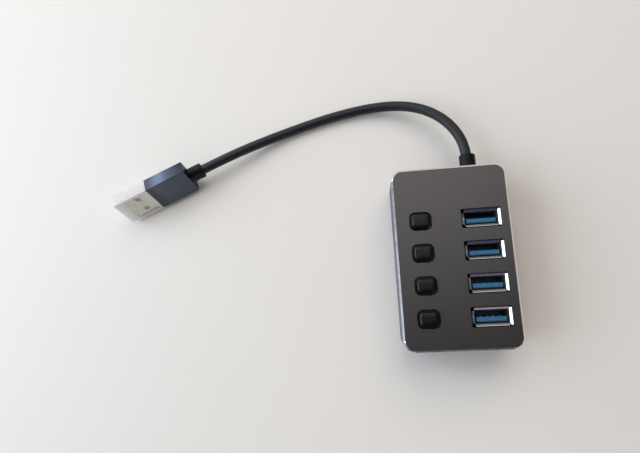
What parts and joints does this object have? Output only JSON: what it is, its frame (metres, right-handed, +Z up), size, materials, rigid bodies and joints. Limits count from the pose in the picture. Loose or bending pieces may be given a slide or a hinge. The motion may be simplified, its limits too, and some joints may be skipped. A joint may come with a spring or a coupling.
{
  "type": "usb hub",
  "caption": "Desktop USB hub: a flat box with a row of upward-facing ports, a push button beside each, and a short lead to a capped plug.",
  "frame": {"origin": "centre of the hub's footprint, in the plane of its feet", "axes": "+Z up out of the ports, +Y along the hub towards the wall where the lead leaves, +X across towards the column of ports"},
  "size_m": [0.1651, 0.1063, 0.022],
  "materials": {
    "casing": "matte anodised with a polished edge",
    "cover": "fine texture",
    "screws": "satin",
    "feet": "matte",
    "board": "solder mask",
    "chips": "matte",
    "crystal_can": "satin",
    "can_sleeves": "satin",
    "ceramic_chips": "satin",
    "plated_steel": "nickel plated",
    "blue_insulator": "satin",
    "contacts": "gold plated",
    "switch_body": "matte",
    "switch_stem": "satin",
    "spring_wire": "bright",
    "buttons": "gloss",
    "jacket": "satin",
    "collars": "satin",
    "wire_sleeves": "gloss",
    "plug_body": "satin",
    "plug_filling": "matte",
    "clear_cap": "milky clear"
  },
  "bodies": {
    "hub": {"top_shell": "casing", "bottom_cover": "cover", "cover_screws": "screws", "rubber_feet": "feet", "main_board": "board", "hub_controller": "chips", "crystal": "crystal_can", "voltage_regulator": "chips", "bulk_capacitors": "can_sleeves", "ceramic_capacitors": "ceramic_chips", "cable_gland": "collars", "cable": "jacket", "hub_wires": "wire_sleeves", "plug_housing": "plug_body", "plug_core": "plug_filling", "plug_strain_relief": "collars", "plug_shell": "plated_steel", "plug_insulator": "blue_insulator", "plug_contacts": "contacts", "plug_wires": "wire_sleeves", "port_shell_1": "plated_steel", "port_shell_2": "plated_steel", "port_shell_3": "plated_steel", "port_shell_4": "plated_steel", "port_tongue_1": "blue_insulator", "port_tongue_2": "blue_insulator", "port_tongue_3": "blue_insulator", "port_tongue_4": "blue_insulator", "port_contacts_1": "contacts", "port_contacts_2": "contacts", "port_contacts_3": "contacts", "port_contacts_4": "contacts", "switch_housing_1": "switch_body", "switch_housing_2": "switch_body", "switch_housing_3": "switch_body", "switch_housing_4": "switch_body", "switch_spring_1": "spring_wire", "switch_spring_2": "spring_wire", "switch_spring_3": "spring_wire", "switch_spring_4": "spring_wire"},
    "button_1": {"button_cap_1": "buttons", "switch_plunger_1": "switch_stem"},
    "button_2": {"button_cap_2": "buttons", "switch_plunger_2": "switch_stem"},
    "button_3": {"button_cap_3": "buttons", "switch_plunger_3": "switch_stem"},
    "button_4": {"button_cap_4": "buttons", "switch_plunger_4": "switch_stem"},
    "cap": {"plug_cap": "clear_cap"}
  },
  "joints": [
    {"name": "button_1_press", "type": "slide", "parent": "hub", "child": "button_1", "axis": [0, 0, -1], "range_m": [0, 0.0016], "stiffness_N_per_m": 500, "springref_m": -0.001, "deforming": ["switch_spring_1"]},
    {"name": "button_2_press", "type": "slide", "parent": "hub", "child": "button_2", "axis": [0, 0, -1], "range_m": [0, 0.0016], "stiffness_N_per_m": 500, "springref_m": -0.001, "deforming": ["switch_spring_2"]},
    {"name": "button_3_press", "type": "slide", "parent": "hub", "child": "button_3", "axis": [0, 0, -1], "range_m": [0, 0.0016], "stiffness_N_per_m": 500, "springref_m": -0.001, "deforming": ["switch_spring_3"]},
    {"name": "button_4_press", "type": "slide", "parent": "hub", "child": "button_4", "axis": [0, 0, -1], "range_m": [0, 0.0016], "stiffness_N_per_m": 500, "springref_m": -0.001, "deforming": ["switch_spring_4"]},
    {"name": "cap_pull", "type": "slide", "parent": "hub", "child": "cap", "axis": [-0.9252, -0.3795, 0], "range_m": [0, 0.0155]}
  ]
}
